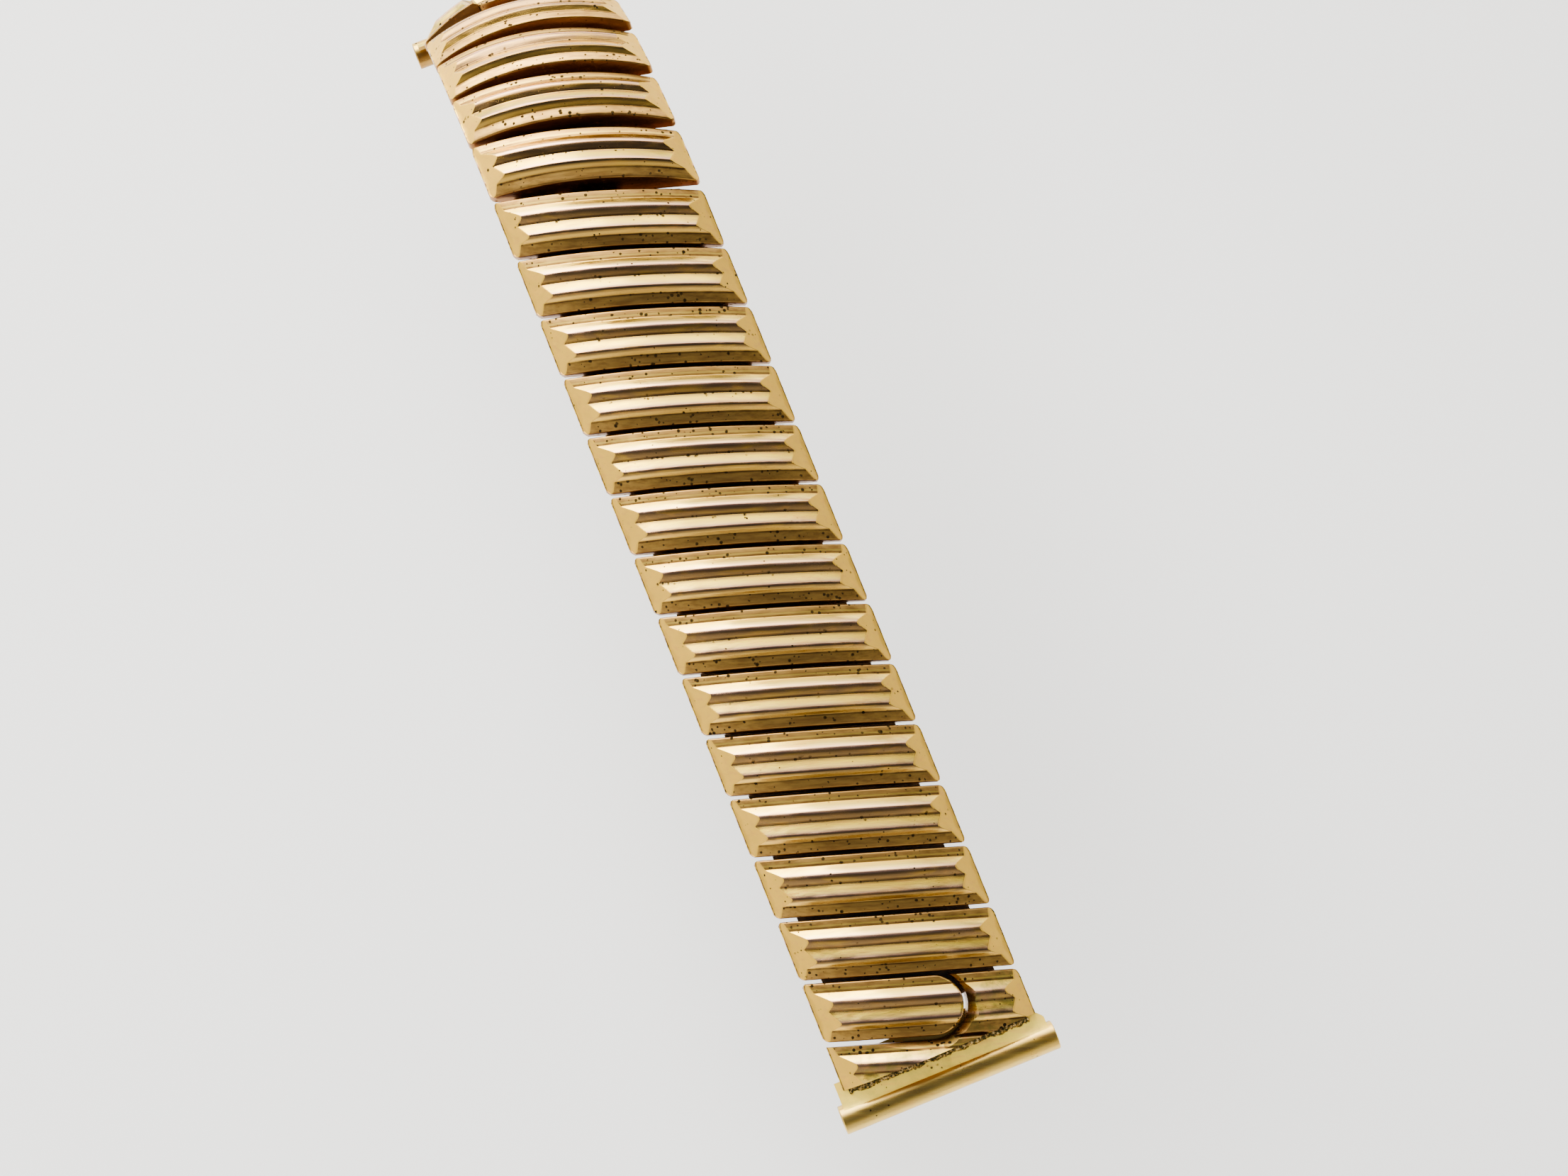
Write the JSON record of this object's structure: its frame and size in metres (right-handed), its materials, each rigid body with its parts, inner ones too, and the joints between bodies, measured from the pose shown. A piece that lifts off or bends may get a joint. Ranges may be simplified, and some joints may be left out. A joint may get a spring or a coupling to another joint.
{
  "type": "expansion watch band",
  "caption": "Expansion watch band of slanted, ribbed, hollow links on sprung sliders, with a rolled lug tube at each end, standing as a low arch.",
  "frame": {"origin": "centre of the front lug tube's bore", "axes": "+Y along the lug bores across the band, +X from the front lug tube to the rear one, +Z outwards from the wrist"},
  "size_m": [0.1018, 0.018, 0.0177],
  "materials": {
    "gold_shell": "polished, worn",
    "gold_tube": "polished, worn",
    "slider_steel": "satin",
    "spring_steel": "satin"
  },
  "bodies": {
    "front_end": {"front_end_shell": "gold_shell", "front_lug_tube": "gold_tube"},
    "link_01": {"link_01": "gold_shell", "leaf_spring_01": "spring_steel"},
    "slider_01": {"slider_01": "slider_steel"},
    "link_02": {"link_02": "gold_shell", "leaf_spring_02": "spring_steel"},
    "slider_02": {"slider_02": "slider_steel"},
    "link_03": {"link_03": "gold_shell", "leaf_spring_03": "spring_steel"},
    "slider_03": {"slider_03": "slider_steel"},
    "link_04": {"link_04": "gold_shell", "leaf_spring_04": "spring_steel"},
    "slider_04": {"slider_04": "slider_steel"},
    "link_05": {"link_05": "gold_shell", "leaf_spring_05": "spring_steel"},
    "slider_05": {"slider_05": "slider_steel"},
    "link_06": {"link_06": "gold_shell", "leaf_spring_06": "spring_steel"},
    "slider_06": {"slider_06": "slider_steel"},
    "link_07": {"link_07": "gold_shell", "leaf_spring_07": "spring_steel"},
    "slider_07": {"slider_07": "slider_steel"},
    "link_08": {"link_08": "gold_shell", "leaf_spring_08": "spring_steel"},
    "slider_08": {"slider_08": "slider_steel"},
    "link_09": {"link_09": "gold_shell", "leaf_spring_09": "spring_steel"},
    "slider_09": {"slider_09": "slider_steel"},
    "link_10": {"link_10": "gold_shell", "leaf_spring_10": "spring_steel"},
    "slider_10": {"slider_10": "slider_steel"},
    "link_11": {"link_11": "gold_shell", "leaf_spring_11": "spring_steel"},
    "slider_11": {"slider_11": "slider_steel"},
    "link_12": {"link_12": "gold_shell", "leaf_spring_12": "spring_steel"},
    "slider_12": {"slider_12": "slider_steel"},
    "link_13": {"link_13": "gold_shell", "leaf_spring_13": "spring_steel"},
    "slider_13": {"slider_13": "slider_steel"},
    "link_14": {"link_14": "gold_shell", "leaf_spring_14": "spring_steel"},
    "slider_14": {"slider_14": "slider_steel"},
    "link_15": {"link_15": "gold_shell", "leaf_spring_15": "spring_steel"},
    "slider_15": {"slider_15": "slider_steel"},
    "link_16": {"link_16": "gold_shell", "leaf_spring_16": "spring_steel"},
    "slider_16": {"slider_16": "slider_steel"},
    "link_17": {"link_17": "gold_shell", "leaf_spring_17": "spring_steel"},
    "slider_17": {"slider_17": "slider_steel"},
    "link_18": {"link_18": "gold_shell", "leaf_spring_18": "spring_steel"},
    "slider_18": {"slider_18": "slider_steel"},
    "link_19": {"link_19": "gold_shell"},
    "rear_end": {"rear_end_shell": "gold_shell", "rear_lug_tube": "gold_tube"}
  },
  "joints": [
    {"name": "front_hinge", "type": "hinge", "parent": "front_end", "child": "link_01", "pos_m": [0.00499, 0, 0.0008], "axis": [0, 1, 0], "range_deg": [0, 16]},
    {"name": "stretch_01", "type": "slide", "parent": "link_01", "child": "slider_01", "axis": [0.9859, 0, 0.1676], "range_m": [0, 0.002], "stiffness_N_per_m": 3300, "springref_m": -0.00061, "deforming": ["leaf_spring_01"]},
    {"name": "hinge_02", "type": "hinge", "parent": "slider_01", "child": "link_02", "pos_m": [0.01006, 0, 0.00166], "axis": [0, 1, 0], "range_deg": [0, 16]},
    {"name": "stretch_02", "type": "slide", "parent": "link_02", "child": "slider_02", "axis": [0.9859, 0, 0.1676], "range_m": [0, 0.002], "stiffness_N_per_m": 3300, "springref_m": -0.00061, "deforming": ["leaf_spring_02"]},
    {"name": "hinge_03", "type": "hinge", "parent": "slider_02", "child": "link_03", "pos_m": [0.01514, 0, 0.00252], "axis": [0, 1, 0], "range_deg": [0, 16]},
    {"name": "stretch_03", "type": "slide", "parent": "link_03", "child": "slider_03", "axis": [0.9859, 0, 0.1676], "range_m": [0, 0.002], "stiffness_N_per_m": 3300, "springref_m": -0.00061, "deforming": ["leaf_spring_03"]},
    {"name": "hinge_04", "type": "hinge", "parent": "slider_03", "child": "link_04", "pos_m": [0.02022, 0, 0.00339], "axis": [0, 1, 0], "range_deg": [0, 16]},
    {"name": "stretch_04", "type": "slide", "parent": "link_04", "child": "slider_04", "axis": [0.9859, 0, 0.1676], "range_m": [0, 0.002], "stiffness_N_per_m": 3300, "springref_m": -0.00061, "deforming": ["leaf_spring_04"]},
    {"name": "hinge_05", "type": "hinge", "parent": "slider_04", "child": "link_05", "pos_m": [0.0253, 0, 0.00425], "axis": [0, 1, 0], "range_deg": [0, 16]},
    {"name": "stretch_05", "type": "slide", "parent": "link_05", "child": "slider_05", "axis": [0.9859, 0, 0.1676], "range_m": [0, 0.002], "stiffness_N_per_m": 3300, "springref_m": -0.00061, "deforming": ["leaf_spring_05"]},
    {"name": "hinge_06", "type": "hinge", "parent": "slider_05", "child": "link_06", "pos_m": [0.03037, 0, 0.00511], "axis": [0, 1, 0], "range_deg": [0, 16]},
    {"name": "stretch_06", "type": "slide", "parent": "link_06", "child": "slider_06", "axis": [0.9859, 0, 0.1676], "range_m": [0, 0.002], "stiffness_N_per_m": 3300, "springref_m": -0.00061, "deforming": ["leaf_spring_06"]},
    {"name": "hinge_07", "type": "hinge", "parent": "slider_06", "child": "link_07", "pos_m": [0.03545, 0, 0.00598], "axis": [0, 1, 0], "range_deg": [0, 16]},
    {"name": "stretch_07", "type": "slide", "parent": "link_07", "child": "slider_07", "axis": [0.9859, 0, 0.1676], "range_m": [0, 0.002], "stiffness_N_per_m": 3300, "springref_m": -0.00061, "deforming": ["leaf_spring_07"]},
    {"name": "hinge_08", "type": "hinge", "parent": "slider_07", "child": "link_08", "pos_m": [0.04053, 0, 0.00684], "axis": [0, 1, 0], "range_deg": [0, 16]},
    {"name": "stretch_08", "type": "slide", "parent": "link_08", "child": "slider_08", "axis": [0.9859, 0, 0.1676], "range_m": [0, 0.002], "stiffness_N_per_m": 3300, "springref_m": -0.00061, "deforming": ["leaf_spring_08"]},
    {"name": "hinge_09", "type": "hinge", "parent": "slider_08", "child": "link_09", "pos_m": [0.0456, 0, 0.0077], "axis": [0, 1, 0], "range_deg": [0, 16]},
    {"name": "stretch_09", "type": "slide", "parent": "link_09", "child": "slider_09", "axis": [0.9859, 0, 0.1676], "range_m": [0, 0.002], "stiffness_N_per_m": 3300, "springref_m": -0.00061, "deforming": ["leaf_spring_09"]},
    {"name": "hinge_10", "type": "hinge", "parent": "slider_09", "child": "link_10", "pos_m": [0.05068, 0, 0.00857], "axis": [0, 1, 0], "range_deg": [0, 16]},
    {"name": "stretch_10", "type": "slide", "parent": "link_10", "child": "slider_10", "axis": [0.9859, 0, 0.1676], "range_m": [0, 0.002], "stiffness_N_per_m": 3300, "springref_m": -0.00061, "deforming": ["leaf_spring_10"]},
    {"name": "hinge_11", "type": "hinge", "parent": "slider_10", "child": "link_11", "pos_m": [0.05576, 0, 0.00943], "axis": [0, 1, 0], "range_deg": [0, 16]},
    {"name": "stretch_11", "type": "slide", "parent": "link_11", "child": "slider_11", "axis": [0.9859, 0, 0.1676], "range_m": [0, 0.002], "stiffness_N_per_m": 3300, "springref_m": -0.00061, "deforming": ["leaf_spring_11"]},
    {"name": "hinge_12", "type": "hinge", "parent": "slider_11", "child": "link_12", "pos_m": [0.06084, 0, 0.01029], "axis": [0, 1, 0], "range_deg": [0, 16]},
    {"name": "stretch_12", "type": "slide", "parent": "link_12", "child": "slider_12", "axis": [0.9859, 0, 0.1676], "range_m": [0, 0.002], "stiffness_N_per_m": 3300, "springref_m": -0.00061, "deforming": ["leaf_spring_12"]},
    {"name": "hinge_13", "type": "hinge", "parent": "slider_12", "child": "link_13", "pos_m": [0.06591, 0, 0.01116], "axis": [0, 1, 0], "range_deg": [0, 16]},
    {"name": "stretch_13", "type": "slide", "parent": "link_13", "child": "slider_13", "axis": [0.9859, 0, 0.1676], "range_m": [0, 0.002], "stiffness_N_per_m": 3300, "springref_m": -0.00061, "deforming": ["leaf_spring_13"]},
    {"name": "hinge_14", "type": "hinge", "parent": "slider_13", "child": "link_14", "pos_m": [0.07099, 0, 0.01202], "axis": [0, 1, 0], "range_deg": [0, 16]},
    {"name": "stretch_14", "type": "slide", "parent": "link_14", "child": "slider_14", "axis": [0.9859, 0, 0.1676], "range_m": [0, 0.002], "stiffness_N_per_m": 3300, "springref_m": -0.00061, "deforming": ["leaf_spring_14"]},
    {"name": "hinge_15", "type": "hinge", "parent": "slider_14", "child": "link_15", "pos_m": [0.07607, 0, 0.01288], "axis": [0, 1, 0], "range_deg": [-12, 4]},
    {"name": "stretch_15", "type": "slide", "parent": "link_15", "child": "slider_15", "axis": [0.9992, 0, -0.041], "range_m": [0, 0.002], "stiffness_N_per_m": 3300, "springref_m": -0.00061, "deforming": ["leaf_spring_15"]},
    {"name": "hinge_16", "type": "hinge", "parent": "slider_15", "child": "link_16", "pos_m": [0.08121, 0, 0.01267], "axis": [0, 1, 0], "range_deg": [-12, 4]},
    {"name": "stretch_16", "type": "slide", "parent": "link_16", "child": "slider_16", "axis": [0.9688, 0, -0.2479], "range_m": [0, 0.002], "stiffness_N_per_m": 3300, "springref_m": -0.00061, "deforming": ["leaf_spring_16"]},
    {"name": "hinge_17", "type": "hinge", "parent": "slider_16", "child": "link_17", "pos_m": [0.0862, 0, 0.01139], "axis": [0, 1, 0], "range_deg": [-12, 4]},
    {"name": "stretch_17", "type": "slide", "parent": "link_17", "child": "slider_17", "axis": [0.8961, 0, -0.4439], "range_m": [0, 0.002], "stiffness_N_per_m": 3300, "springref_m": -0.00061, "deforming": ["leaf_spring_17"]},
    {"name": "hinge_18", "type": "hinge", "parent": "slider_17", "child": "link_18", "pos_m": [0.09082, 0, 0.00911], "axis": [0, 1, 0], "range_deg": [-12, 4]},
    {"name": "stretch_18", "type": "slide", "parent": "link_18", "child": "slider_18", "axis": [0.7842, 0, -0.6205], "range_m": [0, 0.002], "stiffness_N_per_m": 3300, "springref_m": -0.00061, "deforming": ["leaf_spring_18"]},
    {"name": "hinge_19", "type": "hinge", "parent": "slider_18", "child": "link_19", "pos_m": [0.09486, 0, 0.00591], "axis": [0, 1, 0], "range_deg": [-12, 4]},
    {"name": "rear_hinge", "type": "hinge", "parent": "link_19", "child": "rear_end", "pos_m": [0.09607, 0, 0.00445], "axis": [0, 1, 0], "range_deg": [-12, 4]}
  ]
}
